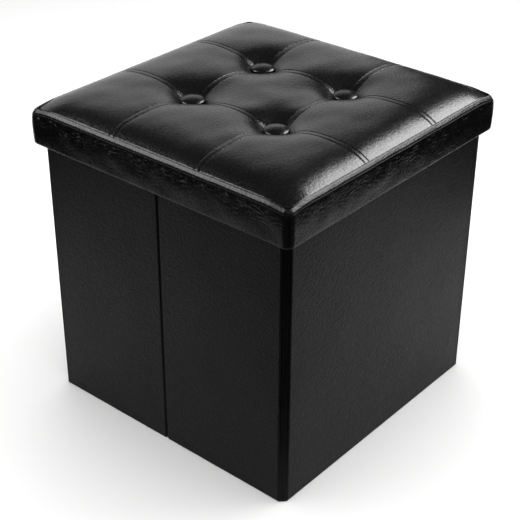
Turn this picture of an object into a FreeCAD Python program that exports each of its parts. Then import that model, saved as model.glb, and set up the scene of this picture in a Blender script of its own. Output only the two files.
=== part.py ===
import FreeCAD, Part
import os

# Folding storage ottoman: a cube of leather-covered panels under a lift-off, tufted lid.
# Millimetres. The origin is the middle of the footprint on the floor, and +Z is up.
# The front is -Y, one rigid panel. The sides, -X and +X, are in two halves that fold inwards.
# The back panel, +Y, travels up to the front panel as the sides fold.

# Driving dimensions
BODY_WIDTH = 361.0        # over the wall covers, both ways
WALL_TOP = 356.5          # top of the walls, just under the lid's lining
LID_WIDTH = 380.0         # over the skirt, both ways
HEM_Z = 336.0             # lower edge of the skirt
SEAM_Z = 380.0            # seam between the skirt bands and the top cover
CROWN_Z = 393.5           # top of the cushion
LEATHER = 1.0             # every leather sheet
LINING = 0.8              # every lining cloth inside the walls and the lid
PANEL = 7.0               # a wall's whole thickness: leather, board and lining
FOLD_PLAY = 0.8           # room between two panels that lie folded on each other

# Walls
SETBACK = PANEL + FOLD_PLAY           # from the cube's corner to the edge of each panel
CENTRE_GAP = 3.0                      # between the two halves of a side
LINING_MARGIN = 6.0                   # leather turned over the inner edge of a panel
TOP_ROUND = 2.0                       # rounding of a panel's outer top edge
BOTTOM_ROUND = 3.0                    # rounding of a panel's outer bottom edge
INNER_ROUND = 2.0                     # rounding of a panel's inner upright edges
STRIP_FLOOR_GAP = 0.5                 # soft strips stop this far above the floor

# Base
BASE_WIDTH = 335.0
BASE_CLOTH = 0.4
BASE_BOARD = 3.0
TAB_WIDTH, TAB_LENGTH, TAB_THICKNESS = 25.0, 70.0, 1.0
TAB_FROM_EDGE = 8.0

# Lid
LID_ROUND = 12.0                      # upright corners of the skirt, in plan
SKIRT_BOARD = 4.0
LID_BOARD = 6.0
LID_REST_GAP = 0.7                    # between the wall tops and the lid's lining
SHOULDER = 10.5                       # rounding of the cushion's upper edge

# Tufting
BUTTON_AT = 62.0                      # from the middle of the sewn grid to each of its lines
GRID_SHIFT = 6.0                      # the grid is sewn this far to the +X side
BUTTON_RADIUS = 14.5
BUTTON_TOP = 384.5
BUTTON_DOME = 30.0                    # radius of a button's upper face
DIMPLE_RADIUS = 45.0                  # radius of the hollow round each button
DIMPLE_FLOOR = 376.5
CORD_RADIUS = 0.8
KNOT_RADIUS, KNOT_HEIGHT = 2.5, 1.8
WASHER_RADIUS, WASHER_HEIGHT = 9.0, 1.2
WASHER_PLAY = 0.5

# Staples under the lid
STAPLES_PER_SIDE = 6
STAPLE_CROWN = 10.0
STAPLE_WIRE = 0.6
STAPLE_LEG = 5.0
STAPLE_FROM_EDGE = 9.0                # from the outside of the skirt

# Worked out from the above
HALF_BODY = BODY_WIDTH / 2
HALF_LID = LID_WIDTH / 2
LINING_TOP = WALL_TOP + LID_REST_GAP + LINING
BOARD_TOP = LINING_TOP + LID_BOARD
BASE_TOP = 2 * BASE_CLOTH + BASE_BOARD
SIDES = ("front", "right", "back", "left")
SIDE_TURN = {"front": 0, "right": 90, "back": 180, "left": -90}


def box(low, high):
    size = [b - a for a, b in zip(low, high)]
    return Part.makeBox(*size, FreeCAD.Vector(*low))


def centred_slab(half, z0, z1):
    return box((-half, -half, z0), (half, half, z1))


def turned(shape, degrees):
    copy = shape.copy()
    copy.rotate(FreeCAD.Vector(0, 0, 0), FreeCAD.Vector(0, 0, 1), degrees)
    return copy


def rounded(shape, radius, wanted):
    """Fillet the edges whose middle point meets the test."""
    edges = [e for e in shape.Edges if wanted(e.CenterOfMass)]
    return shape.makeFillet(radius, edges)


def near(a, b):
    return abs(a - b) < 0.01


def save(name, shape):
    shape = shape.removeSplitter()
    if not shape.isValid():
        raise RuntimeError(name + " is not a valid solid")
    shape.exportStep("parts/" + name + ".step")
    print(name, "solids", len(shape.Solids), "volume", round(shape.Volume, 1))


# Walls. Each panel is drawn as a front panel, outer face on y = -HALF_BODY, and then turned.

def panel_envelope(x0, x1):
    outer, inner = -HALF_BODY, -HALF_BODY + PANEL
    body = box((x0, outer, 0), (x1, inner, WALL_TOP))
    body = rounded(body, INNER_ROUND, lambda p: near(p.y, inner) and near(p.z, WALL_TOP / 2))
    body = rounded(body, BOTTOM_ROUND, lambda p: near(p.y, outer) and near(p.z, 0))
    return rounded(body, TOP_ROUND, lambda p: near(p.y, outer) and near(p.z, WALL_TOP))


def wall_panel(name, turn, x0, x1):
    outer, inner = -HALF_BODY, -HALF_BODY + PANEL
    board = box((x0 + LEATHER, outer + LEATHER, LEATHER),
                (x1 - LEATHER, inner - LINING, WALL_TOP - LEATHER))
    board = rounded(board, BOTTOM_ROUND - LEATHER,
                    lambda p: near(p.y, outer + LEATHER) and near(p.z, LEATHER))
    board = rounded(board, TOP_ROUND - LEATHER,
                    lambda p: near(p.y, outer + LEATHER) and near(p.z, WALL_TOP - LEATHER))
    board = rounded(board, INNER_ROUND - LEATHER,
                    lambda p: near(p.y, inner - LINING) and near(p.z, WALL_TOP / 2))
    lining = box((x0 + LINING_MARGIN, inner - LINING, LINING_MARGIN),
                 (x1 - LINING_MARGIN, inner, WALL_TOP - LINING_MARGIN))
    cover = panel_envelope(x0, x1).cut(board).cut(lining)
    save(name + "_cover", turned(cover, turn))
    save(name + "_board", turned(board, turn))
    save(name + "_lining", turned(lining, turn))


def make_walls():
    far, middle = HALF_BODY - SETBACK, CENTRE_GAP / 2
    wall_panel("front", SIDE_TURN["front"], -far, far)
    wall_panel("back", SIDE_TURN["back"], -far, far)
    wall_panel("left_front", SIDE_TURN["left"], middle, far)
    wall_panel("left_rear", SIDE_TURN["left"], -far, -middle)
    wall_panel("right_front", SIDE_TURN["right"], -far, -middle)
    wall_panel("right_rear", SIDE_TURN["right"], middle, far)


def corner_strip():
    """Flat leather across the corner between two panels, drawn at the front left corner."""
    depth = LEATHER * 2 ** 0.5
    corners = [(SETBACK, 0), (SETBACK, depth), (depth, SETBACK), (0, SETBACK), (SETBACK, 0)]
    outline = Part.makePolygon([FreeCAD.Vector(x - HALF_BODY, y - HALF_BODY, STRIP_FLOOR_GAP)
                                for x, y in corners])
    return Part.Face(outline).extrude(FreeCAD.Vector(0, 0, WALL_TOP - STRIP_FLOOR_GAP))


def fold_strip():
    """Flat leather across the gap between the halves of a side, drawn on the front."""
    gap, outer = CENTRE_GAP / 2, -HALF_BODY
    return box((-gap, outer, STRIP_FLOOR_GAP), (gap, outer + LEATHER, WALL_TOP))


def make_soft_hinges():
    for name, turn in (("front_left", 0), ("front_right", 90),
                       ("rear_right", 180), ("rear_left", -90)):
        save(name + "_corner", turned(corner_strip(), turn))
    save("left_fold_strip", turned(fold_strip(), SIDE_TURN["left"]))
    save("right_fold_strip", turned(fold_strip(), SIDE_TURN["right"]))


# Base: a board in a cloth bag, and the ribbon that lifts it out.

def make_base():
    half, low = BASE_WIDTH / 2, BASE_CLOTH
    board = centred_slab(half - BASE_CLOTH, low, low + BASE_BOARD)
    save("base_board", board)
    save("base_top_sheet", centred_slab(half, low, BASE_TOP).cut(board))
    save("base_bottom_sheet", centred_slab(half, 0, low))
    rear = half - TAB_FROM_EDGE
    save("base_pull_tab", box((-TAB_WIDTH / 2, rear - TAB_LENGTH, BASE_TOP),
                              (TAB_WIDTH / 2, rear, BASE_TOP + TAB_THICKNESS)))


# Lid

def lid_prism(inset, z0, z1):
    """The lid's outline in plan, inset from the outside of the skirt."""
    body = centred_slab(HALF_LID - inset, z0, z1)
    return rounded(body, LID_ROUND - inset, lambda p: near(p.z, (z0 + z1) / 2))


def side_wedge():
    """The quarter of the plan that belongs to the front side, cut on the diagonals."""
    reach = HALF_LID + 1
    corners = [(0, 0), (-reach, -reach), (reach, -reach), (0, 0)]
    outline = Part.makePolygon([FreeCAD.Vector(x, y, HEM_Z - 1) for x, y in corners])
    return Part.Face(outline).extrude(FreeCAD.Vector(0, 0, CROWN_Z - HEM_Z + 2))


def button_places():
    return [(name, GRID_SHIFT + sx * BUTTON_AT, sy * BUTTON_AT) for name, sx, sy in
            (("front_left", -1, -1), ("front_right", 1, -1),
             ("rear_left", -1, 1), ("rear_right", 1, 1))]


def upright(radius, z0, z1, x, y):
    return Part.makeCylinder(radius, z1 - z0, FreeCAD.Vector(x, y, z0), FreeCAD.Vector(0, 0, 1))


def cushion(inset):
    """The cushion's form, inset by a number of millimetres, with its hollows."""
    form = lid_prism(inset, BOARD_TOP, CROWN_Z - inset)
    form = rounded(form, SHOULDER - inset, lambda p: near(p.z, CROWN_Z - inset))
    for _, x, y in button_places():
        centre = FreeCAD.Vector(x, y, DIMPLE_FLOOR + DIMPLE_RADIUS)
        form = form.cut(Part.makeSphere(DIMPLE_RADIUS + inset, centre))
    return form


def make_skirt():
    inner = LEATHER + SKIRT_BOARD + LINING
    hem_top = HEM_Z + LEATHER
    bands = lid_prism(0, HEM_Z, SEAM_Z).cut(lid_prism(LEATHER, hem_top, SEAM_Z))
    bands = bands.cut(centred_slab(HALF_LID - inner, HEM_Z - 1, hem_top + 1))
    outside, inside = HALF_LID - LEATHER, HALF_LID - LEATHER - SKIRT_BOARD
    rim = lid_prism(LEATHER, hem_top, BOARD_TOP)
    for side in SIDES:
        turn = SIDE_TURN[side]
        save(side + "_skirt_cover", turned(bands.common(side_wedge()), turn))
        reach = inside if side in ("front", "back") else inside - 0.2
        board = box((-reach, -outside, hem_top), (reach, -inside, BOARD_TOP)).common(rim)
        save(side + "_skirt_board", turned(board, turn))
        reach = inside - LINING
        lining = box((-reach, -inside, hem_top), (reach, -inside + LINING, LINING_TOP - LINING))
        save(side + "_skirt_lining", turned(lining, turn))


def make_cords():
    """Each cord runs from a button to a knot under its washer, in one piece."""
    pieces = []
    for _, x, y in button_places():
        knot = upright(KNOT_RADIUS, LINING_TOP, LINING_TOP + KNOT_HEIGHT, x, y)
        cord = upright(CORD_RADIUS, LINING_TOP + KNOT_HEIGHT, DIMPLE_FLOOR, x, y)
        pieces.append(knot.fuse(cord).removeSplitter())
    return pieces


def make_washers(bore):
    low = LINING_TOP + KNOT_HEIGHT
    return [upright(WASHER_RADIUS, low, low + WASHER_HEIGHT, x, y)
            .cut(upright(bore, low, low + WASHER_HEIGHT, x, y)) for _, x, y in button_places()]


def make_staples():
    low, line = LINING_TOP - LINING - STAPLE_WIRE, -HALF_LID + STAPLE_FROM_EDGE
    pitch = 2 * (HALF_LID - 2 * STAPLE_FROM_EDGE) / STAPLES_PER_SIDE
    staples = []
    for side in SIDES:
        for n in range(STAPLES_PER_SIDE):
            x = (n - (STAPLES_PER_SIDE - 1) / 2) * pitch
            half, wire = STAPLE_CROWN / 2, STAPLE_WIRE / 2
            crown = box((x - half, line - wire, low), (x + half, line + wire, low + STAPLE_WIRE))
            for end in (-1, 1):
                leg = x + end * (half - wire)
                top = low + STAPLE_WIRE + STAPLE_LEG
                crown = crown.fuse(box((leg - wire, line - wire, low), (leg + wire, line + wire, top)))
            staples.append(turned(crown.removeSplitter(), SIDE_TURN[side]))
    return staples


def make_buttons():
    for name, x, y in button_places():
        under = Part.makeSphere(DIMPLE_RADIUS, FreeCAD.Vector(x, y, DIMPLE_FLOOR + DIMPLE_RADIUS))
        dome = Part.makeSphere(BUTTON_DOME, FreeCAD.Vector(x, y, BUTTON_TOP - BUTTON_DOME))
        rim = upright(BUTTON_RADIUS, DIMPLE_FLOOR - 1, BUTTON_TOP + 1, x, y)
        save("button_" + name, rim.common(under).common(dome))


def make_lid():
    cords, staples = make_cords(), make_staples()
    washers = make_washers(CORD_RADIUS)
    inner = LEATHER + SKIRT_BOARD
    board = centred_slab(HALF_LID - inner, LINING_TOP, BOARD_TOP)
    recess = KNOT_HEIGHT + WASHER_HEIGHT
    foam, cover = cushion(LEATHER), cushion(0)
    for _, x, y in button_places():
        board = board.cut(upright(WASHER_RADIUS + WASHER_PLAY, LINING_TOP, LINING_TOP + recess, x, y))
        hole = upright(CORD_RADIUS, LINING_TOP, CROWN_Z, x, y)
        board, foam, cover = board.cut(hole), foam.cut(hole), cover.cut(hole)
    lining = centred_slab(HALF_LID - inner, LINING_TOP - LINING, LINING_TOP)
    for staple in staples:
        board, lining = board.cut(staple), lining.cut(staple)
    below_seam = centred_slab(HALF_LID + 1, BOARD_TOP - 1, SEAM_Z)
    save("lid_board", board)
    save("lid_lining", lining)
    save("foam_pad", foam)
    save("top_cover", cover.cut(cushion(LEATHER)).cut(below_seam))
    save("tufting_cords", Part.makeCompound(cords))
    save("tufting_washers", Part.makeCompound(washers))
    save("lid_staples", Part.makeCompound(staples))


os.makedirs("parts", exist_ok=True)
make_walls()
make_soft_hinges()
make_base()
make_skirt()
make_buttons()
make_lid()
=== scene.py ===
import math
import bpy
import numpy as np
from mathutils import Matrix, Vector


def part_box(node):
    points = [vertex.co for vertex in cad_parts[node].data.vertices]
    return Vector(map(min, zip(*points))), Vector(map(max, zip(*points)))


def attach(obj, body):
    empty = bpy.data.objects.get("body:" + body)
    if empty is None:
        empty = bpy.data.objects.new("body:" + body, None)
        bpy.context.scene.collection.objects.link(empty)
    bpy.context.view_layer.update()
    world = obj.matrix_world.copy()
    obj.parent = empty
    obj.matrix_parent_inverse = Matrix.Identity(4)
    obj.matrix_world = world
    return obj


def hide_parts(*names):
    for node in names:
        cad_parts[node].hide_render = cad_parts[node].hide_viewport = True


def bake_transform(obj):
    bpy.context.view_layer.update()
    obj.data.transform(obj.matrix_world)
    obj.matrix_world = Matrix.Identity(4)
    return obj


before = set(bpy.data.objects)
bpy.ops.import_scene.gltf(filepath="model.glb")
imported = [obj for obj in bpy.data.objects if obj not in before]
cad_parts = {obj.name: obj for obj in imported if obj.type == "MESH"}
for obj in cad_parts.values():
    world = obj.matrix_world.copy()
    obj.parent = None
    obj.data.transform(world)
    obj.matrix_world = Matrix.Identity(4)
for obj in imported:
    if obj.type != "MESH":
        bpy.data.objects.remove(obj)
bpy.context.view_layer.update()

# A folding storage ottoman in imitation leather. Metres, in the frame of the CAD model:
# +Z up, the one-piece front panel on -Y, the folding sides on -X and +X.

MM = 0.001

# Sizes read from the frame
HALF_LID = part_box("top_cover")[1][0]
CROWN_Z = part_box("top_cover")[1][2]
SEAM_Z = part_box("front_skirt_cover")[1][2]
HEM_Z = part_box("front_skirt_cover")[0][2]
BOARD_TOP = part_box("lid_board")[1][2]
HALF_BODY = -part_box("front_cover")[0][1]
WALL_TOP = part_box("front_cover")[1][2]
LINING_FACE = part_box("front_lining")[0][1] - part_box("front_cover")[0][1]
CORNER_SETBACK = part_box("front_left_corner")[1][0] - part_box("front_left_corner")[0][0]
FOLD_HALF_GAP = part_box("left_fold_strip")[1][1]
BUTTON_BOXES = {name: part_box("button_" + name)
                for name in ("front_left", "front_right", "rear_left", "rear_right")}
BUTTON_RADIUS = (BUTTON_BOXES["front_left"][1][0] - BUTTON_BOXES["front_left"][0][0]) / 2
BUTTON_TOP = BUTTON_BOXES["front_left"][1][2]
BUTTONS = {name: ((low[0] + high[0]) / 2, (low[1] + high[1]) / 2)
           for name, (low, high) in BUTTON_BOXES.items()}
GRID_X = (BUTTONS["front_left"][0], BUTTONS["front_right"][0])
GRID_Y = (BUTTONS["front_left"][1], BUTTONS["rear_left"][1])

# Sizes of the sewing and the padding
SEAM_INSET = 6.0 * MM        # the upper seam lies this far inside the skirt's face
CORNER_ROUND = 9.5 * MM      # the lid's upright corners
CORNER_DIP = 2.6 * MM        # how far the upper seam is pulled down at the lid's corners
SHOULDER = 17.0 * MM         # how quickly the cushion rises from its seam
CENTRE_SAG = 4.4 * MM        # how much lower the padding is between the four buttons
ROW_APART = 7.0 * MM         # the two rows of a double-stitched seam
STITCH_PITCH = 4.9 * MM
STITCH_LENGTH = 3.5 * MM
THREAD_RADIUS = 0.34 * MM
LEATHER_SHEET = 0.9 * MM
TUFT_DEPTH = 12.5 * MM       # how far a button pulls the padding down
TUFT_FLAT = 14.0 * MM        # the padding is flat under the button, to this distance from its middle
TUFT_SPREAD = 19.0 * MM      # and rises again over about this distance
ROW_DEPTH = 0.55 * MM        # the groove of each row of stitches
CORNER_REACH = 34.0 * MM     # the dip at the lid's corners begins this far along the sides
WALL_PADDING = 0.12 * MM     # how far the walls' leather swells, and how uneven it is

SIDE_TURN = {"front": 0, "right": 90, "back": 180, "left": -90}


# ---------------------------------------------------------------- meshes

def mesh_piece(name, vertices, faces):
    mesh = bpy.data.meshes.new(name)
    mesh.from_pydata(np.asarray(vertices, float).tolist(), [], faces)
    mesh.polygons.foreach_set("use_smooth", [True] * len(mesh.polygons))
    mesh.update()
    piece = bpy.data.objects.new(name, mesh)
    bpy.context.scene.collection.objects.link(piece)
    return piece


def grid_faces(rows, columns, wrap_columns=False, start=0):
    """Four-cornered faces of a grid of points, whose columns may close into a ring."""
    i = np.arange(rows - 1)
    j = np.arange(columns if wrap_columns else columns - 1)
    i, j = np.meshgrid(i, j, indexing="ij")
    ni = i + 1
    nj = (j + 1) % columns
    quads = np.stack([i * columns + j, ni * columns + j, ni * columns + nj, i * columns + nj], -1)
    return (quads.reshape(-1, 4) + start).tolist()


def turned(points, degrees):
    a = math.radians(degrees)
    c, s = round(math.cos(a), 12), round(math.sin(a), 12)
    points = np.asarray(points, float)
    x, y, z = points[..., 0], points[..., 1], points[..., 2]
    return np.stack([c * x - s * y, s * x + c * y, z], -1)


def solidify(piece, thickness):
    """Gives an open sheet its thickness, on the side that its faces point to."""
    modifier = piece.modifiers.new("sheet_thickness", "SOLIDIFY")
    modifier.thickness = thickness
    modifier.offset = 1.0
    modifier.use_even_offset = True
    apply_modifiers(piece)
    return piece


def apply_modifiers(piece):
    graph = bpy.context.evaluated_depsgraph_get()
    mesh = bpy.data.meshes.new_from_object(piece.evaluated_get(graph))
    piece.modifiers.clear()
    piece.data = mesh
    mesh.polygons.foreach_set("use_smooth", [True] * len(mesh.polygons))


def waves(x, y, sizes, seed):
    """Smooth seeded noise of about unit size: a sum of plane waves with the given wavelengths."""
    count = 14
    rng = np.random.default_rng(seed)
    total = np.zeros(np.broadcast(x, y).shape)
    for size in sizes:
        for _ in range(count):
            a, phase = rng.uniform(0, 2 * math.pi, 2)
            k = 2 * math.pi / (size * rng.uniform(0.75, 1.35))
            total += np.sin(k * (x * math.cos(a) + y * math.sin(a)) + phase)
    return total / math.sqrt(count * len(sizes) / 2)


def step(low, high, x):
    t = np.clip((x - low) / (high - low), 0, 1)
    return t * t * (3 - 2 * t)


# ---------------------------------------------------------------- materials

def new_material(name):
    material = bpy.data.materials.new(name)
    material.use_nodes = True
    nodes, links = material.node_tree.nodes, material.node_tree.links
    return material, nodes, links, nodes["Principled BSDF"]


def texture(nodes, links, kind, coords, **values):
    node = nodes.new(kind)
    for key, value in values.items():
        node.inputs[key].default_value = value
    links.new(coords, node.inputs["Vector"])
    return node


def scaled_coords(nodes, links, scale):
    coords, mapping = nodes.new("ShaderNodeTexCoord"), nodes.new("ShaderNodeMapping")
    mapping.inputs["Scale"].default_value = scale
    links.new(coords.outputs["Object"], mapping.inputs["Vector"])
    return mapping.outputs["Vector"]


def ramp(nodes, links, source, stops):
    node = nodes.new("ShaderNodeValToRGB")
    elements = node.color_ramp.elements
    while len(elements) < len(stops):
        elements.new(0.5)
    for element, (at, colour) in zip(elements, stops):
        element.position = at
        element.color = (*colour, 1)
    links.new(source, node.inputs["Fac"])
    return node.outputs["Color"]


def bump(nodes, links, height, strength, distance, below=None):
    node = nodes.new("ShaderNodeBump")
    node.inputs["Strength"].default_value = strength
    node.inputs["Distance"].default_value = distance
    links.new(height, node.inputs["Height"])
    if below is not None:
        links.new(below, node.inputs["Normal"])
    return node.outputs["Normal"]


def leather(name, grain, crease, roughness, gloss):
    """Black imitation leather: pebble grain, fine creases and a satin film worn a little unevenly."""
    material, nodes, links, shader = new_material(name)
    plain = scaled_coords(nodes, links, (1, 1, 1))
    pebbles = texture(nodes, links, "ShaderNodeTexVoronoi", plain, Scale=760.0, Randomness=1.0)
    pebbles.feature = "SMOOTH_F1"
    coarse = texture(nodes, links, "ShaderNodeTexNoise", plain, Scale=330.0, Detail=4.0,
                     Roughness=0.6)
    stretched = scaled_coords(nodes, links, (1, 1, 2.6))
    creases = texture(nodes, links, "ShaderNodeTexNoise", stretched, Scale=150.0,
                      Detail=6.0, Roughness=0.62, Distortion=0.9)
    patches = texture(nodes, links, "ShaderNodeTexNoise", plain, Scale=14.0, Detail=3.0)
    colour = ramp(nodes, links, patches.outputs["Fac"],
                  [(0.3, (0.0020, 0.0020, 0.0021)), (0.7, (0.0034, 0.0034, 0.0036))])
    links.new(colour, shader.inputs["Base Color"])
    spread = nodes.new("ShaderNodeMapRange")
    spread.inputs["From Min"].default_value = 0.3
    spread.inputs["From Max"].default_value = 0.7
    spread.inputs["To Min"].default_value = roughness[0]
    spread.inputs["To Max"].default_value = roughness[1]
    links.new(coarse.outputs["Fac"], spread.inputs["Value"])
    links.new(spread.outputs["Result"], shader.inputs["Roughness"])
    shader.inputs["Specular IOR Level"].default_value = gloss
    first = bump(nodes, links, pebbles.outputs["Distance"], 0.6 * grain, 0.0004)
    second = bump(nodes, links, coarse.outputs["Fac"], 0.7 * grain, 0.0008, first)
    third = bump(nodes, links, creases.outputs["Fac"], crease, 0.0012, second)
    links.new(third, shader.inputs["Normal"])
    return material


def cloth(name, colour, cell=900.0):
    """Bonded lining cloth: tiny pressed dots over a fibrous sheet."""
    material, nodes, links, shader = new_material(name)
    plain = scaled_coords(nodes, links, (1, 1, 1))
    dots = texture(nodes, links, "ShaderNodeTexVoronoi", plain, Scale=cell, Randomness=0.15)
    fibres = texture(nodes, links, "ShaderNodeTexNoise", plain, Scale=420.0, Detail=6.0,
                     Roughness=0.7, Distortion=0.6)
    dark = tuple(c * 0.55 for c in colour)
    links.new(ramp(nodes, links, fibres.outputs["Fac"], [(0.35, dark), (0.65, colour)]),
              shader.inputs["Base Color"])
    shader.inputs["Roughness"].default_value = 0.88
    shader.inputs["Sheen Weight"].default_value = 0.25
    first = bump(nodes, links, dots.outputs["Distance"], 0.4, 0.0005)
    links.new(bump(nodes, links, fibres.outputs["Fac"], 0.3, 0.0004, first),
              shader.inputs["Normal"])
    return material


def grained(name, light, dark, roughness, scale, stretch, strength=0.15):
    """Board, metal or plastic with a fine directional grain."""
    material, nodes, links, shader = new_material(name)
    fibres = texture(nodes, links, "ShaderNodeTexNoise", scaled_coords(nodes, links, stretch),
                     Scale=scale, Detail=5.0, Roughness=0.65)
    links.new(ramp(nodes, links, fibres.outputs["Fac"], [(0.35, dark), (0.65, light)]),
              shader.inputs["Base Color"])
    shader.inputs["Roughness"].default_value = roughness
    links.new(bump(nodes, links, fibres.outputs["Fac"], strength, 0.0003), shader.inputs["Normal"])
    return material


def thread_material():
    material, nodes, links, shader = new_material("black_thread")
    twist = texture(nodes, links, "ShaderNodeTexWave", scaled_coords(nodes, links, (1, 1, 1)),
                    Scale=1500.0, Distortion=1.5)
    links.new(ramp(nodes, links, twist.outputs["Color"],
                   [(0.2, (0.002, 0.002, 0.002)), (0.8, (0.006, 0.006, 0.0065))]),
              shader.inputs["Base Color"])
    shader.inputs["Roughness"].default_value = 0.55
    shader.inputs["Specular IOR Level"].default_value = 0.12
    links.new(bump(nodes, links, twist.outputs["Color"], 0.4, 0.0002), shader.inputs["Normal"])
    return material


SEAT_LEATHER = leather("seat_leather", grain=0.45, crease=0.02, roughness=(0.23, 0.31), gloss=0.5)
SKIRT_LEATHER = leather("skirt_leather", grain=0.6, crease=0.2, roughness=(0.24, 0.32), gloss=0.13)
WALL_LEATHER = leather("wall_leather", grain=0.9, crease=0.5, roughness=(0.34, 0.46), gloss=0.10)
SEAM_LEATHER = leather("seam_leather", grain=0.5, crease=0.05, roughness=(0.24, 0.32), gloss=0.3)
BUTTON_LEATHER = leather("button_leather", grain=0.4, crease=0.05, roughness=(0.24, 0.32), gloss=0.5)
STRIP_LEATHER = leather("strip_leather", grain=0.6, crease=0.2, roughness=(0.34, 0.44), gloss=0.07)
THREAD = thread_material()


def paint(piece, material):
    piece.data.materials.clear()
    piece.data.materials.append(material)


def finish_piece(piece, material, body, slot_name, *nodes):
    paint(piece, material)
    if nodes:
        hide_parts(*nodes)
    if body is not None:
        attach(piece, body)
    return piece


# ---------------------------------------------------------------- sewing

def stitches(path, normals):
    """Vertices and faces of a row of thread stitches laid along a path of points."""
    path, normals = np.asarray(path, float), np.asarray(normals, float)
    gaps = np.linalg.norm(np.diff(path, axis=0), axis=1)
    along = np.concatenate([[0], np.cumsum(gaps)])
    centres = np.arange(STITCH_PITCH / 2, along[-1] - STITCH_PITCH / 2, STITCH_PITCH)
    rings = np.array([-0.5, -0.42, -0.2, 0.0, 0.2, 0.42, 0.5])
    widths = np.array([0.45, 0.85, 1.0, 1.0, 1.0, 0.85, 0.45])
    rise = np.array([-1.5, -0.3, 0.35, 0.5, 0.35, -0.3, -1.5])
    at = centres[:, None] + rings[None, :] * STITCH_LENGTH

    def sample(values):
        return np.stack([np.interp(at, along, values[:, k]) for k in range(3)], -1)

    spine, up = sample(path), sample(normals)
    up /= np.linalg.norm(up, axis=-1, keepdims=True)
    along_way = np.gradient(spine, axis=1)
    along_way /= np.linalg.norm(along_way, axis=-1, keepdims=True)
    across = np.cross(along_way, up)
    spine = spine + up * (rise * THREAD_RADIUS)[None, :, None]
    sides = 6
    angles = np.arange(sides) * 2 * math.pi / sides
    ring = (across[:, :, None] * np.cos(angles)[None, None, :, None]
            + up[:, :, None] * np.sin(angles)[None, None, :, None])
    points = spine[:, :, None] + ring * (THREAD_RADIUS * widths)[None, :, None, None]
    faces = []
    one = grid_faces(len(rings), sides, wrap_columns=True)
    size = len(rings) * sides
    caps = [list(range(sides)), list(range(size - 1, size - 1 - sides, -1))]
    for n in range(len(centres)):
        faces += [[v + n * size for v in f] for f in one + caps]
    return points.reshape(-1, 3), faces


def joined(parts):
    """One list of vertices and faces from several."""
    vertices, faces, first = [], [], 0
    for points, shapes in parts:
        vertices.append(points)
        faces += [[v + first for v in f] for f in shapes]
        first += len(points)
    return np.concatenate(vertices), faces


# ---------------------------------------------------------------- cushion

EDGE = HALF_LID - SEAM_INSET


def stations(lines):
    """Places of the cushion's mesh lines across it, closer together at the seams and buttons."""
    spots = [-EDGE]
    while spots[-1] < EDGE:
        x = spots[-1]
        to_line = min(abs(x - line) for line in lines)
        pace = 0.36 * MM if abs(to_line - ROW_APART / 2) < 1.4 * MM else 1.0 * MM
        if to_line > 30 * MM:
            pace = 1.8 * MM
        if EDGE - abs(x) < 20 * MM:
            pace = 0.9 * MM
        if EDGE - abs(x + pace) < 3.0 * MM:
            pace = 0.4 * MM
        spots.append(x + pace)
    spots[-1] = EDGE
    return np.array(spots)


def button_distance(x, y):
    nearest = np.full(np.broadcast(x, y).shape, 9.0)
    for bx, by in BUTTONS.values():
        nearest = np.minimum(nearest, np.hypot(x - bx, y - by))
    return nearest


def tuft_depth(x, y):
    """The hollows that the buttons pull into the padding."""
    depth = np.zeros(np.broadcast(x, y).shape)
    for bx, by in BUTTONS.values():
        beyond = np.maximum(np.hypot(x - bx, y - by) - TUFT_FLAT, 0)
        depth = depth + TUFT_DEPTH * np.exp(-(beyond / TUFT_SPREAD) ** 1.15)
    return depth


def seam_depth(across, x, y):
    """The hollow that a sewn line pulls into the padding, deeper towards the buttons."""
    r = button_distance(x, y)
    to_edge = EDGE - np.maximum(abs(x), abs(y))
    pull = 0.7 * MM + 2.2 * MM * np.exp(-(r / (36 * MM)) ** 2)
    pull = pull * (0.25 + 0.75 * step(0, 30 * MM, to_edge))
    valley = np.exp(-np.abs(across / (9.5 * MM)) ** 1.5)
    rows = np.exp(-((np.abs(across) - ROW_APART / 2) / (0.5 * MM)) ** 2)
    band = 0.25 * MM * step(0, 2.2 * MM, ROW_APART / 2 - np.abs(across))
    inside = step(BUTTON_RADIUS - 2 * MM, BUTTON_RADIUS + 16 * MM, r)
    return pull * valley + (ROW_DEPTH * rows - band) * inside


def corner_pull(x, y):
    """From 0 along the sides to 1 at the lid's corners."""
    return step(EDGE - CORNER_REACH, EDGE, abs(x)) * step(EDGE - CORNER_REACH, EDGE, abs(y))


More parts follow.
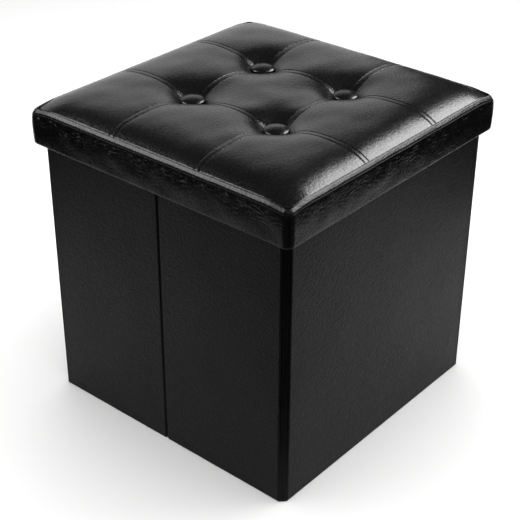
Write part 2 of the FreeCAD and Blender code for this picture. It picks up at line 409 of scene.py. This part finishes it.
def cushion_height(x, y):
    """Height of the cushion's leather above the floor."""
    in_x, in_y = np.maximum(EDGE - abs(x), 0), np.maximum(EDGE - abs(y), 0)
    fx, fy = 1 - np.exp(-in_x / SHOULDER), 1 - np.exp(-in_y / SHOULDER)
    crown = (CROWN_Z - SEAM_Z + 1.2 * MM) * fx * fy * (1 - 0.15 * corner_pull(x, y))
    crown = crown - CENTRE_SAG * np.exp(-((x / (70 * MM)) ** 4 + (y / (70 * MM)) ** 4))
    sewn = np.zeros(np.broadcast(x, y).shape)
    for line in GRID_X:
        sewn = sewn + seam_depth(x - line, x, y)
    for line in GRID_Y:
        sewn = sewn + seam_depth(y - line, x, y)
    puckers = np.zeros(np.broadcast(x, y).shape)
    for bx, by in BUTTONS.values():
        a = np.arctan2(y - by, x - bx)
        d = np.hypot(x - bx, y - by)
        fold = np.cos(17 * a + 2.0 * np.sin(3 * a + bx * 90)) + 0.6 * np.cos(26 * a + by * 70)
        near = np.exp(-((d - BUTTON_RADIUS) / (7 * MM)) ** 2) * (d > BUTTON_RADIUS * 0.6)
        puckers = puckers + 0.06 * MM * fold * near
    soft = 0.16 * MM * waves(x, y, (38 * MM, 60 * MM), 3) * fx * fy
    from_seam, beside = np.minimum(in_x, in_y), np.where(in_x < in_y, y, x)
    tucked = 0.2 * MM + 0.9 * MM * np.exp(-from_seam / (0.3 * MM))
    tucked = tucked - 0.8 * MM * np.exp(-from_seam / (3 * MM))
    gathers = np.cos(2 * math.pi * beside / STITCH_PITCH) * step(0, 1.4 * MM, from_seam)
    tucked = tucked - 0.16 * MM * gathers * np.exp(-from_seam / (2.2 * MM))
    dip = CORNER_DIP * corner_pull(x, y)
    return SEAM_Z + crown - tuft_depth(x, y) - sewn + puckers + soft - tucked - dip


def cushion_plan(x, y):
    """Pulls the square's corners in to the lid's round corners."""
    pull = 1.25 * CORNER_ROUND * (1 - 1 / math.sqrt(2)) * (abs(x * y) / EDGE ** 2) ** 22
    return x - np.sign(x) * pull, y - np.sign(y) * pull


def cushion_point(x, y):
    px, py = cushion_plan(x, y)
    return np.stack([px, py, cushion_height(x, y)], -1)


def make_cushion():
    across, back = stations(GRID_X), stations(GRID_Y)
    x, y = np.meshgrid(across, back, indexing="ij")
    top = cushion_point(x, y)
    rows, columns = len(across), len(back)
    rim = [(i, 0) for i in range(rows)] + [(rows - 1, j) for j in range(1, columns)]
    rim += [(i, columns - 1) for i in range(rows - 2, -1, -1)] + [(0, j) for j in range(columns - 2, 0, -1)]
    rim_index = np.array([i * columns + j for i, j in rim])
    edge = top.reshape(-1, 3)[rim_index]
    skirts = []
    for inset, z in ((0.0, SEAM_Z - 3.0 * MM), (0.6 * MM, SEAM_Z - 6 * MM),
                     (0.6 * MM, BOARD_TOP + 1 * MM), (1.6 * MM, BOARD_TOP + 0.1 * MM)):
        ring = edge.copy()
        ring[:, :2] *= 1 - inset / EDGE
        ring[:, 2] = z
        skirts.append(ring)
    vertices = np.concatenate([top.reshape(-1, 3), *skirts])
    faces = grid_faces(rows, columns)
    size, first = len(rim), rows * columns
    loops = [rim_index]
    loops += [np.arange(first + k * size, first + (k + 1) * size) for k in range(len(skirts))]
    for upper, lower in zip(loops, loops[1:]):
        for n in range(size):
            m = (n + 1) % size
            faces.append([int(upper[n]), int(lower[n]), int(lower[m]), int(upper[m])])
    faces.append([int(v) for v in loops[-1]][::-1])
    piece = mesh_piece("seat_cushion", vertices, faces)
    return finish_piece(piece, SEAT_LEATHER, "lid", "leather", "top_cover", "foam_pad")


def surface_normals(point, x, y):
    d = 0.2 * MM
    along_x = point(x + d, y) - point(x - d, y)
    along_y = point(x, y + d) - point(x, y - d)
    normal = np.cross(along_x, along_y)
    return normal / np.linalg.norm(normal, axis=-1, keepdims=True)


def make_grid_stitching():
    parts = []
    run = np.linspace(-EDGE + 1.2 * MM, EDGE - 1.2 * MM, 1400)
    rows = []
    for side in (-1, 1):
        beside = side * ROW_APART / 2
        rows += [(np.full_like(run, line + beside), run) for line in GRID_X]
        rows += [(run, np.full_like(run, line + beside)) for line in GRID_Y]
    for x, y in rows:
        clear = button_distance(x, y) > BUTTON_RADIUS + 1.0 * MM
        breaks = np.flatnonzero(np.diff(clear.astype(int))) + 1
        for part in np.split(np.arange(len(run)), breaks):
            if clear[part[0]] and len(part) > 20:
                xs, ys = x[part], y[part]
                parts.append(stitches(cushion_point(xs, ys), surface_normals(cushion_point, xs, ys)))
    piece = mesh_piece("grid_stitching", *joined(parts))
    finish_piece(piece, THREAD, "lid", "leather")


# ---------------------------------------------------------------- buttons

def make_button(name, cx, cy):
    """A covered button: a domed leather disc, gathered underneath."""
    radius, top = BUTTON_RADIUS + 0.3 * MM, BUTTON_TOP + 0.6 * MM
    profile = [(0.0, 0.0), (3.0, -0.12), (6.0, -0.5), (9.0, -1.15), (11.2, -1.85), (12.9, -2.7),
               (13.9, -3.6), (14.3, -4.5), (14.1, -5.3), (13.3, -6.0), (11.5, -6.4), (6.0, -6.6),
               (0.0, -6.6)]
    profile = [(r * MM * radius / (14.3 * MM), z * MM) for r, z in profile]
    around = 72
    angles = np.arange(around) * 2 * math.pi / around
    rings = []
    for r, z in profile[1:-1]:
        gather = 1 + 0.012 * np.cos(18 * angles + cx * 100) * step(3.4 * MM, 5.5 * MM, -z)
        rings.append(np.stack([cx + r * gather * np.cos(angles), cy + r * gather * np.sin(angles),
                               np.full(around, top + z)], -1))
    vertices = np.concatenate([[[cx, cy, top]], *rings, [[cx, cy, top + profile[-1][1]]]])
    faces = [[0, 1 + n, 1 + (n + 1) % around] for n in range(around)]
    faces += grid_faces(len(rings), around, wrap_columns=True, start=1)
    last, base = len(vertices) - 1, 1 + (len(rings) - 1) * around
    faces += [[last, base + (n + 1) % around, base + n] for n in range(around)]
    piece = mesh_piece("covered_" + name, vertices, faces)
    modifier = piece.modifiers.new("smooth", "SUBSURF")
    modifier.levels = modifier.render_levels = 1
    finish_piece(piece, BUTTON_LEATHER, "lid", "leather", name)


def make_buttons():
    for name, (x, y) in BUTTONS.items():
        make_button("button_" + name, x, y)


# ---------------------------------------------------------------- skirt

# The skirt's section, downwards from the upper seam: distance out from the lid's face, and height
# over the hem, both in millimetres. It turns under the hem, up the inside, and back within itself.
SKIRT_SECTION = [(-6.3, 42.0), (-6.25, 43.6), (-6.0, 44.5), (-5.5, 44.7), (-4.8, 44.2), (-4.0, 43.3),
                 (-3.1, 42.2), (-2.35, 41.2), (-2.15, 40.65), (-2.5, 40.3), (-3.0, 40.0), (-2.2, 39.85),
                 (-1.4, 39.7), (-1.05, 39.2), (-0.65, 38.0), (-0.25, 36.0), (0.05, 33.0), (0.25, 29.0),
                 (0.35, 24.0), (0.3, 18.0), (0.15, 12.0), (-0.05, 7.0), (-0.25, 3.6), (-0.5, 1.6),
                 (-1.0, 0.45), (-1.9, 0.0), (-3.6, -0.1), (-5.4, 0.4), (-6.1, 1.6), (-6.3, 4.0),
                 (-6.3, 8.0), (-6.3, 13.0)]
SKIRT_INSIDE = [(-5.5, 13.0), (-5.4, 4.0), (-4.2, 0.8), (-2.6, 0.7), (-1.5, 1.6), (-1.1, 6.0),
                (-0.95, 14.0), (-0.9, 29.0), (-1.5, 36.0), (-2.9, 38.6), (-3.7, 40.4), (-5.4, 42.2)]
STITCH_HEIGHT = 40.1         # of the row under the upper seam, over the hem


def section_curve(pace):
    """The skirt's outer section as closely spaced points on a smooth curve."""
    points = np.array(SKIRT_SECTION) * MM
    lengths = np.linalg.norm(np.diff(points, axis=0), axis=1)
    fine = []
    for k in range(len(points) - 1):
        a, b = points[k], points[k + 1]
        before = points[k - 1] if k else a
        after = points[k + 2] if k + 2 < len(points) else b
        count = max(2, round(lengths[k] / pace))
        t = np.arange(count)[:, None] / count
        fine.append(0.5 * (2 * a + (b - before) * t + (2 * before - 5 * a + 4 * b - after) * t ** 2
                           + (3 * a - before - 3 * b + after) * t ** 3))
    return np.concatenate([*fine, points[-1:]])


def rim_path(out, s):
    """Plan point at distance s from the middle of the front side, offset out from the lid's face."""
    straight = HALF_LID - CORNER_ROUND
    turn = np.clip((np.abs(s) - straight) / CORNER_ROUND, 0, math.pi / 4)
    radius = CORNER_ROUND + out
    x = np.sign(s) * (np.minimum(np.abs(s), straight) + radius * np.sin(turn))
    y = -(straight + radius * np.cos(turn))
    return x, y


SKIRT_REACH = HALF_LID - CORNER_ROUND + CORNER_ROUND * math.pi / 4


def wrinkles(s, z, seed):
    """Fine creases that run along the band: narrow valleys where a stretched noise crosses zero."""
    rng = np.random.default_rng(seed)
    noise = np.zeros(np.broadcast(s, z).shape)
    for size in (2.8 * MM, 3.6 * MM, 5.0 * MM):
        for _ in range(9):
            tilt, phase = rng.normal(0, 0.26), rng.uniform(0, 2 * math.pi)
            k = 2 * math.pi / (size * rng.uniform(0.8, 1.3))
            noise += np.sin(k * (z * math.cos(tilt) + s * math.sin(tilt)) + phase)
    noise /= math.sqrt(27 / 2)
    patchy = 0.55 + 0.45 * np.tanh(1.5 * waves(s, z, (30 * MM, 18 * MM), seed + 1))
    return (0.17 * MM * noise - 0.36 * MM * np.exp(-(noise / 0.4) ** 2)) * patchy


def skirt_point(s, out, z, seed):
    """A point of the front skirt band. Near its ends it turns in to the corner seam."""
    to_end = SKIRT_REACH - np.abs(s)
    pinch = 0.9 * MM * np.exp(-(to_end / (0.8 * MM)) ** 2)
    pinch = pinch - 0.3 * MM * np.exp(-((to_end - 1.9 * MM) / (0.9 * MM)) ** 2)
    height = (z - HEM_Z) / (SEAM_Z - HEM_Z)
    loose = np.clip(height * (1 - height) * 4, 0, 1)
    wave = 0.22 * MM * waves(s, z, (34 * MM, 55 * MM), seed) * loose
    creased = step(0.30, 0.75, height) * step(0, 0.05, 0.88 - height)
    wave = wave + creased * wrinkles(s, z, seed + 9)
    outside = step(-5.6 * MM, -4.0 * MM, out)
    gathers = np.cos(2 * math.pi * s / STITCH_PITCH)
    near_row = np.exp(-((z - HEM_Z - (STITCH_HEIGHT - 1.6) * MM) / (1.0 * MM)) ** 2)
    wave = wave + 0.10 * MM * gathers * near_row
    x, y = rim_path(out - pinch * outside + wave * outside * step(0, 12 * MM, to_end), s)
    sag = -0.15 * MM * np.abs(waves(s, 0 * s, (70 * MM, 120 * MM), seed + 5)) * (1 - np.clip(height, 0, 1))
    dip = CORNER_DIP * step(CORNER_REACH, 0, to_end) * step(0.3, 1.0, height)
    return np.stack([x, y, z + sag - dip], -1)


def make_skirt_band(side, seed):
    section = np.concatenate([section_curve(0.45 * MM), np.array(SKIRT_INSIDE) * MM])
    corner = np.linspace(0, 14 * MM, 24)
    middle = np.linspace(-(SKIRT_REACH - 14 * MM), SKIRT_REACH - 14 * MM, 330)
    s = np.concatenate([-SKIRT_REACH + corner[:-1], middle, (SKIRT_REACH - corner[:-1])[::-1]])
    ss, out = np.meshgrid(s, section[:, 0], indexing="ij")
    zz = np.broadcast_to(HEM_Z + section[:, 1], ss.shape)
    points = turned(skirt_point(ss, out, zz, seed), SIDE_TURN[side])
    count = len(section)
    faces = grid_faces(len(s), count, wrap_columns=True)
    faces += [list(range(count - 1, -1, -1)), list(range((len(s) - 1) * count, len(s) * count))]
    piece = mesh_piece(side + "_skirt_band", points.reshape(-1, 3), faces)
    finish_piece(piece, SKIRT_LEATHER, "lid", "leather", side + "_skirt_cover")
    piece.data.materials.append(SEAM_LEATHER)
    rolled = section[:, 1] > (STITCH_HEIGHT + 0.2) * MM
    slots = [int(rolled[n % count]) for n in range((len(s) - 1) * count)] + [0, 0]
    piece.data.polygons.foreach_set("material_index", slots)


def make_edge_stitching(side, seed):
    """The row of stitches below the upper seam, and the row in the seam itself."""
    parts = []
    s = np.linspace(-SKIRT_REACH + 1.5 * MM, SKIRT_REACH - 1.5 * MM, 1200)
    for out, up in ((-2.6, STITCH_HEIGHT), (-6.15, 44.2)):
        z = np.full_like(s, HEM_Z + up * MM)
        path = skirt_point(s, np.full_like(s, out * MM), z, seed)
        ahead = np.gradient(path, axis=0)
        facing = np.cross(ahead, [0, 0, 1.0])
        facing[:, 2] = np.linalg.norm(facing[:, :2], axis=1) * 2.5
        facing /= np.linalg.norm(facing, axis=1)[:, None]
        points, faces = stitches(path, facing)
        parts.append((turned(points, SIDE_TURN[side]), faces))
    piece = mesh_piece(side + "_edge_stitching", *joined(parts))
    finish_piece(piece, THREAD, "lid", "leather")


def make_skirt():
    for n, side in enumerate(("front", "right", "back", "left")):
        make_skirt_band(side, 20 + n)
        make_edge_stitching(side, 20 + n)


# ---------------------------------------------------------------- walls

def padded_box(low, high, radius, pace):
    """Vertices and faces of a box with round edges, drawn as six grids joined at their borders."""
    low, high = np.array(low, float), np.array(high, float)
    lines = []
    for a, b in zip(low, high):
        soft = np.linspace(0, radius * 1.6, 6)
        inner = np.arange(a + radius * 1.6 + pace, b - radius * 1.6 - pace / 2, pace)
        if b - a < radius * 3.4:
            lines.append(np.linspace(a, b, 9))
        else:
            lines.append(np.concatenate([a + soft, inner, (b - soft)[::-1]]))
    shell, faces, index = [], [], {}

    def vertex(p):
        key = tuple(np.round(p, 7))
        if key not in index:
            index[key] = len(shell)
            shell.append(p)
        return index[key]

    for axis in range(3):
        u, v = (axis + 1) % 3, (axis + 2) % 3
        for end, place in ((0, low[axis]), (1, high[axis])):
            ids = np.empty((len(lines[u]), len(lines[v])), int)
            for i, a in enumerate(lines[u]):
                for j, b in enumerate(lines[v]):
                    p = np.empty(3)
                    p[axis], p[u], p[v] = place, a, b
                    ids[i, j] = vertex(p)
            quads = np.stack([ids[:-1, :-1], ids[1:, :-1], ids[1:, 1:], ids[:-1, 1:]], -1).reshape(-1, 4)
            faces += (quads if end else quads[:, ::-1]).tolist()
    points = np.array(shell)
    core = np.clip(points, low + radius, high - radius)
    away = points - core
    away /= np.maximum(np.linalg.norm(away, axis=1), 1e-12)[:, None]
    return core + away * radius, faces


def make_wall(name, body, side, x0, x1, seed):
    """One leather-covered panel, drawn as a front panel and turned to its side."""
    outer = -HALF_BODY
    points, faces = padded_box((x0, outer, 0), (x1, outer + LINING_FACE + 0.05 * MM, WALL_TOP),
                               1.5 * MM, 6 * MM)
    x, z = points[:, 0], points[:, 2]
    middle = step(0, 25 * MM, x - x0) * step(0, 25 * MM, x1 - x)
    middle = middle * step(0, 25 * MM, z) * step(0, 25 * MM, WALL_TOP - z)
    front_face = points[:, 1] < outer + 1 * MM
    uneven = waves(x, z, (90 * MM, 150 * MM), seed)
    points[:, 1] -= front_face * middle * WALL_PADDING * (1 + uneven)
    piece = mesh_piece(name + "_leather", turned(points, SIDE_TURN[side]), faces)
    finish_piece(piece, WALL_LEATHER, body, "leather", name + "_cover")


def make_walls():
    far, gap = HALF_BODY - CORNER_SETBACK, FOLD_HALF_GAP
    make_wall("front", "front_panel", "front", -far, far, 31)
    make_wall("back", "back_panel", "back", -far, far, 32)
    make_wall("left_front", "left_front_half", "left", gap, far, 33)
    make_wall("left_rear", "left_rear_half", "left", -far, -gap, 34)
    make_wall("right_front", "right_front_half", "right", -far, -gap, 35)
    make_wall("right_rear", "right_rear_half", "right", gap, far, 36)


def strip_piece(name, across, z0, z1, turn):
    """An upright strip of leather: a list of plan points, run from z0 to z1 and given thickness."""
    heights = np.linspace(z0, z1, 90)
    across = np.asarray(across, float)
    points = np.empty((len(heights), len(across), 3))
    points[:, :, :2] = across[None]
    points[:, :, 2] = heights[:, None]
    piece = mesh_piece(name, turned(points, turn).reshape(-1, 3), grid_faces(len(heights), len(across)))
    return solidify(piece, LEATHER_SHEET)


def corner_section():
    """From the front panel's edge to the left panel's: flat, with a lipped seam in the middle."""
    t = np.linspace(0, 1, 61)
    a = np.array([-HALF_BODY + CORNER_SETBACK - 0.1 * MM, -HALF_BODY + 0.35 * MM])
    b = a[::-1]
    points = a + (b - a) * t[:, None]
    d = (t - 0.5) * np.linalg.norm(b - a)
    hollow = 0.5 * MM * np.sin(math.pi * t)
    lips = 0.7 * MM * np.exp(-((np.abs(d) - 0.95 * MM) / (0.55 * MM)) ** 2)
    groove = 0.9 * MM * np.exp(-(d / (0.4 * MM)) ** 2)
    return points + ((hollow + groove - lips) / math.sqrt(2))[:, None]


CORNERS = (("front_left", 0, "front_panel", "left_front_half"),
           ("front_right", 90, "right_front_half", "front_panel"),
           ("rear_right", 180, "back_panel", "right_rear_half"),
           ("rear_left", -90, "left_rear_half", "back_panel"))


def make_corners():
    section = corner_section()
    z0, z1 = 0.6 * MM, WALL_TOP - 0.6 * MM
    for name, turn, first, second in CORNERS:
        piece = strip_piece(name + "_corner_leather", section, z0, z1, turn)
        paint(piece, STRIP_LEATHER)
        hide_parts(name + "_corner")
        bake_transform(piece)


def fold_section(low, high):
    """Leather sunk between the halves of a side, drawn on the front, from x = low to x = high."""
    x = np.linspace(low, high, 9 if low * high == 0 else 17)
    sink = 1.9 * MM - 0.5 * MM * (x / FOLD_HALF_GAP) ** 2
    return np.stack([x, -HALF_BODY + sink], -1)


def make_fold_strips():
    z0, z1 = 0.6 * MM, WALL_TOP - 0.6 * MM
    gap = FOLD_HALF_GAP + 0.3 * MM
    left = strip_piece("left_fold_leather", fold_section(-gap, gap), z0, z1, SIDE_TURN["left"])
    paint(left, STRIP_LEATHER)
    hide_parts("left_fold_strip")
    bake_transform(left)
    for name, body, low, high in (("right_fold_leather_front", "right_front_half", -gap, 0),
                                  ("right_fold_leather_rear", "right_rear_half", 0, gap)):
        half = strip_piece(name, fold_section(low, high), z0, z1, SIDE_TURN["right"])
        finish_piece(half, STRIP_LEATHER, body, "leather", "right_fold_strip")


# ---------------------------------------------------------------- carried-over nodes

def paint_cad_nodes():
    lining = cloth("lining_cloth", (0.020, 0.020, 0.022))
    bag = cloth("base_cloth", (0.024, 0.024, 0.026), cell=700.0)
    ribbon = grained("ribbon_weave", (0.03, 0.03, 0.03), (0.008, 0.008, 0.008), 0.6, 900.0, (1, 6, 1), 0.5)
    board = grained("pressed_board", (0.33, 0.22, 0.13), (0.21, 0.13, 0.075), 0.8, 220.0, (1, 1, 1))
    washer = grained("washer_plastic", (0.72, 0.72, 0.70), (0.60, 0.60, 0.58), 0.45, 300.0, (1, 1, 1), 0.05)
    steel = grained("staple_steel", (0.62, 0.62, 0.64), (0.42, 0.42, 0.45), 0.35, 800.0, (1, 1, 12), 0.1)
    twine = grained("tufting_twine", (0.62, 0.59, 0.52), (0.40, 0.37, 0.31), 0.8, 900.0, (1, 1, 5), 0.6)
    by_ending = (("_sheet", bag), ("_lining", lining), ("pull_tab", ribbon), ("_board", board),
                 ("washers", washer), ("staples", steel), ("cords", twine))
    for name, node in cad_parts.items():
        for ending, material in by_ending:
            if name.endswith(ending):
                paint(node, material)
                break
        else:
            paint(node, WALL_LEATHER)


# ---------------------------------------------------------------- stage

def make_camera():
    azimuth, elevation, roll = map(math.radians, (-49.794, 30.801, 0.247))
    back = Vector((math.sin(azimuth) * math.cos(elevation),
                   -math.cos(azimuth) * math.cos(elevation), math.sin(elevation)))
    right = Vector((0, 0, 1)).cross(back).normalized()
    up = back.cross(right)
    tilted = right * math.cos(roll) + up * math.sin(roll)
    camera = bpy.data.objects.new("camera", bpy.data.cameras.new("camera"))
    camera.data.sensor_width = 36.0
    camera.data.lens = 87.305
    axes = Matrix((tilted, back.cross(tilted), back)).transposed().to_4x4()
    camera.matrix_world = Matrix.Translation((-1.017643, -0.852512, 0.958694)) @ axes
    bpy.context.scene.collection.objects.link(camera)
    bpy.context.scene.camera = camera


def soft_light(name, place, target, size, power, reflected_only=False, hidden_in_gloss=False):
    light = bpy.data.objects.new(name, bpy.data.lights.new(name, "AREA"))
    light.data.shape = "RECTANGLE"
    light.data.size, light.data.size_y = size
    light.data.energy = power
    light.location = place
    light.rotation_mode = "QUATERNION"
    light.rotation_quaternion = (Vector(place) - Vector(target)).to_track_quat("Z", "Y")
    light.visible_glossy = not hidden_in_gloss
    light.visible_diffuse = not reflected_only
    bpy.context.scene.collection.objects.link(light)


def make_floor():
    floor = mesh_piece("floor", [(-9, -9, 0), (9, -9, 0), (9, 9, 0), (-9, 9, 0)], [[0, 1, 2, 3]])
    material, _, _, shader = new_material("pale_floor")
    shader.inputs["Base Color"].default_value = (0.92, 0.92, 0.915, 1)
    shader.inputs["Roughness"].default_value = 0.7
    shader.inputs["Specular IOR Level"].default_value = 0.1
    paint(floor, material)


def make_black_surround():
    """Black cloth beside the white sweep, seen only in reflections, with a tongue to the near corner."""
    inner, outer, around = 0.66, 6.0, 64
    angles = np.radians(np.linspace(105, 350, around))
    vertices = [(r * math.cos(a), r * math.sin(a), 0.002) for r in (inner, outer) for a in angles]
    faces = grid_faces(2, around)
    near, far, half = 0.31, 0.8, 0.7
    along, across = Vector((-0.66, -0.75)), Vector((0.75, -0.66))
    for reach, side in ((near, -1), (near, 1), (far, 1), (far, -1)):
        vertices.append((*(along * reach + across * half * side), 0.003))
    faces.append([2 * around + n for n in range(4)])
    surround = mesh_piece("black_surround", vertices, faces)
    material, _, _, shader = new_material("black_cloth")
    shader.inputs["Base Color"].default_value = (0.002, 0.002, 0.002, 1)
    shader.inputs["Roughness"].default_value = 1.0
    shader.inputs["Specular IOR Level"].default_value = 0.0
    paint(surround, material)
    surround.visible_camera = surround.visible_diffuse = surround.visible_shadow = False


def make_world():
    world = bpy.data.worlds.new("studio")
    bpy.context.scene.world = world
    world.use_nodes = True
    world.node_tree.nodes["Background"].inputs["Color"].default_value = (0.02, 0.02, 0.02, 1)


def make_lights():
    soft_light("overhead", (0.0, 0.0, 2.4), (0, 0, 0), (3.2, 3.2), 118, hidden_in_gloss=True)
    soft_light("right_fill", (1.8, -1.2, 1.4), (0, 0, 0), (1.5, 1.5), 18, hidden_in_gloss=True)
    soft_light("right_box", (1.50, -0.95, 1.69), (0, 0, 0.38), (1.9, 1.15), 76, reflected_only=True)
    soft_light("back_box", (1.20, 1.62, 0.82), (0, 0, 0.38), (1.9, 1.6), 8, reflected_only=True)
    soft_light("near_box", (-1.30, -1.45, 1.15), (0, 0, 0.38), (1.8, 1.3), 5, reflected_only=True)
    soft_light("left_box", (-1.30, 1.34, 1.55), (0, 0, 0.38), (1.2, 0.9), 30, reflected_only=True)
    bpy.context.scene.view_settings.view_transform = "Standard"


make_camera()
make_floor()
make_black_surround()
make_world()
make_lights()
paint_cad_nodes()
make_cushion()
make_grid_stitching()
make_buttons()
make_skirt()
make_walls()
make_corners()
make_fold_strips()
